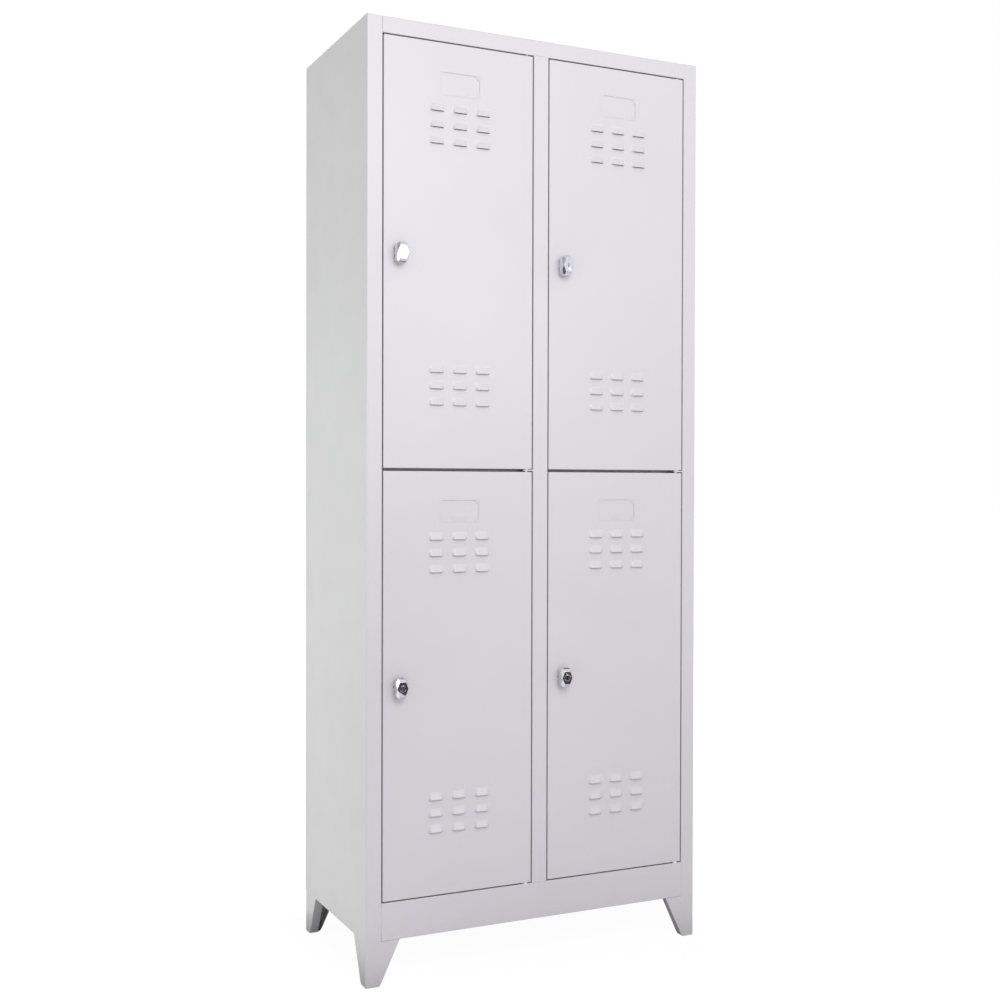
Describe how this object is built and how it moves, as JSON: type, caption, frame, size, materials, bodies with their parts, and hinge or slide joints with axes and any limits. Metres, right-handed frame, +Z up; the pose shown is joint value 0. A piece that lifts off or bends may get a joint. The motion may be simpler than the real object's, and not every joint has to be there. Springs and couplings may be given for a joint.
{
  "type": "locker cabinet",
  "caption": "Freestanding steel locker cabinet with stacked hinged doors, pressed louvres, label fields and knob locks, on tapered corner feet.",
  "frame": {"origin": "middle of the bounding box on the floor", "axes": "+Z up, doors face -Y, +X to the right of a person facing the doors"},
  "size_m": [0.74, 0.406, 1.85],
  "materials": {
    "body_coat": "satin powder coat, light grey",
    "door_coat": "satin powder coat, light grey",
    "chrome_plate": "polished",
    "zinc_plate": "bright zinc",
    "black_rubber": "matt",
    "white_nylon": "matt"
  },
  "bodies": {
    "cabinet": {"side_panel_left": "body_coat", "side_panel_right": "body_coat", "strike_strip": "body_coat", "top_panel": "body_coat", "bottom_rail": "body_coat", "floor_panel": "body_coat", "back_panel": "body_coat", "centre_post": "body_coat", "centre_partition": "body_coat", "shelf_left": "body_coat", "shelf_right": "body_coat", "foot_front_left": "body_coat", "foot_front_right": "body_coat", "foot_rear_left": "body_coat", "foot_rear_right": "body_coat", "foot_bolts": "zinc_plate", "top_hinge_pins": "zinc_plate", "hinge_brackets": "body_coat", "middle_hinge_pins": "zinc_plate", "bottom_hinge_pins": "zinc_plate", "hinge_washers": "white_nylon", "hanger_rod_lower_left": "chrome_plate", "hanger_rod_lower_right": "chrome_plate", "hanger_rod_upper_left": "chrome_plate", "hanger_rod_upper_right": "chrome_plate", "rod_sockets": "chrome_plate", "back_rivets": "zinc_plate", "door_buffers": "black_rubber"},
    "lower_left_door": {"door_lower_left": "door_coat", "stiffener_lower_left": "door_coat", "lock_housing_lower_left": "chrome_plate", "lock_nut_lower_left": "zinc_plate"},
    "lower_left_knob": {"lock_knob_lower_left": "chrome_plate", "lock_cam_lower_left": "zinc_plate", "cam_screw_lower_left": "zinc_plate"},
    "lower_left_key_plug": {"key_plug_lower_left": "chrome_plate"},
    "lower_right_door": {"door_lower_right": "door_coat", "stiffener_lower_right": "door_coat", "lock_housing_lower_right": "chrome_plate", "lock_nut_lower_right": "zinc_plate"},
    "lower_right_knob": {"lock_knob_lower_right": "chrome_plate", "lock_cam_lower_right": "zinc_plate", "cam_screw_lower_right": "zinc_plate"},
    "lower_right_key_plug": {"key_plug_lower_right": "chrome_plate"},
    "upper_left_door": {"door_upper_left": "door_coat", "stiffener_upper_left": "door_coat", "lock_housing_upper_left": "chrome_plate", "lock_nut_upper_left": "zinc_plate"},
    "upper_left_knob": {"lock_knob_upper_left": "chrome_plate", "lock_cam_upper_left": "zinc_plate", "cam_screw_upper_left": "zinc_plate"},
    "upper_left_key_plug": {"key_plug_upper_left": "chrome_plate"},
    "upper_right_door": {"door_upper_right": "door_coat", "stiffener_upper_right": "door_coat", "lock_housing_upper_right": "chrome_plate", "lock_nut_upper_right": "zinc_plate"},
    "upper_right_knob": {"lock_knob_upper_right": "chrome_plate", "lock_cam_upper_right": "zinc_plate", "cam_screw_upper_right": "zinc_plate"},
    "upper_right_key_plug": {"key_plug_upper_right": "chrome_plate"}
  },
  "joints": [
    {"name": "lower_left_door_swing", "type": "hinge", "parent": "cabinet", "child": "lower_left_door", "pos_m": [-0.0298, -0.17145, 0.57325], "axis": [0, 0, 1], "range_deg": [0, 110]},
    {"name": "lower_left_knob_turn", "type": "hinge", "parent": "lower_left_door", "child": "lower_left_knob", "pos_m": [-0.3049, -0.17795, 0.57078], "axis": [0, -1, 0], "range_deg": [0, 90]},
    {"name": "lower_left_key_turn", "type": "hinge", "parent": "lower_left_knob", "child": "lower_left_key_plug", "pos_m": [-0.3049, -0.19795, 0.57078], "axis": [0, -1, 0], "range_deg": [0, 90]},
    {"name": "lower_right_door_swing", "type": "hinge", "parent": "cabinet", "child": "lower_right_door", "pos_m": [0.3253, -0.17145, 0.57325], "axis": [0, 0, 1], "range_deg": [0, 110]},
    {"name": "lower_right_knob_turn", "type": "hinge", "parent": "lower_right_door", "child": "lower_right_knob", "pos_m": [0.0502, -0.17795, 0.57078], "axis": [0, -1, 0], "range_deg": [0, 90]},
    {"name": "lower_right_key_turn", "type": "hinge", "parent": "lower_right_knob", "child": "lower_right_key_plug", "pos_m": [0.0502, -0.19795, 0.57078], "axis": [0, -1, 0], "range_deg": [0, 90]},
    {"name": "upper_left_door_swing", "type": "hinge", "parent": "cabinet", "child": "upper_left_door", "pos_m": [-0.0298, -0.17145, 1.40365], "axis": [0, 0, 1], "range_deg": [0, 110]},
    {"name": "upper_left_knob_turn", "type": "hinge", "parent": "upper_left_door", "child": "upper_left_knob", "pos_m": [-0.3049, -0.17795, 1.40118], "axis": [0, -1, 0], "range_deg": [0, 90]},
    {"name": "upper_left_key_turn", "type": "hinge", "parent": "upper_left_knob", "child": "upper_left_key_plug", "pos_m": [-0.3049, -0.19795, 1.40118], "axis": [0, -1, 0], "range_deg": [0, 90]},
    {"name": "upper_right_door_swing", "type": "hinge", "parent": "cabinet", "child": "upper_right_door", "pos_m": [0.3253, -0.17145, 1.40365], "axis": [0, 0, 1], "range_deg": [0, 110]},
    {"name": "upper_right_knob_turn", "type": "hinge", "parent": "upper_right_door", "child": "upper_right_knob", "pos_m": [0.0502, -0.17795, 1.40118], "axis": [0, -1, 0], "range_deg": [0, 90]},
    {"name": "upper_right_key_turn", "type": "hinge", "parent": "upper_right_knob", "child": "upper_right_key_plug", "pos_m": [0.0502, -0.19795, 1.40118], "axis": [0, -1, 0], "range_deg": [0, 90]}
  ]
}
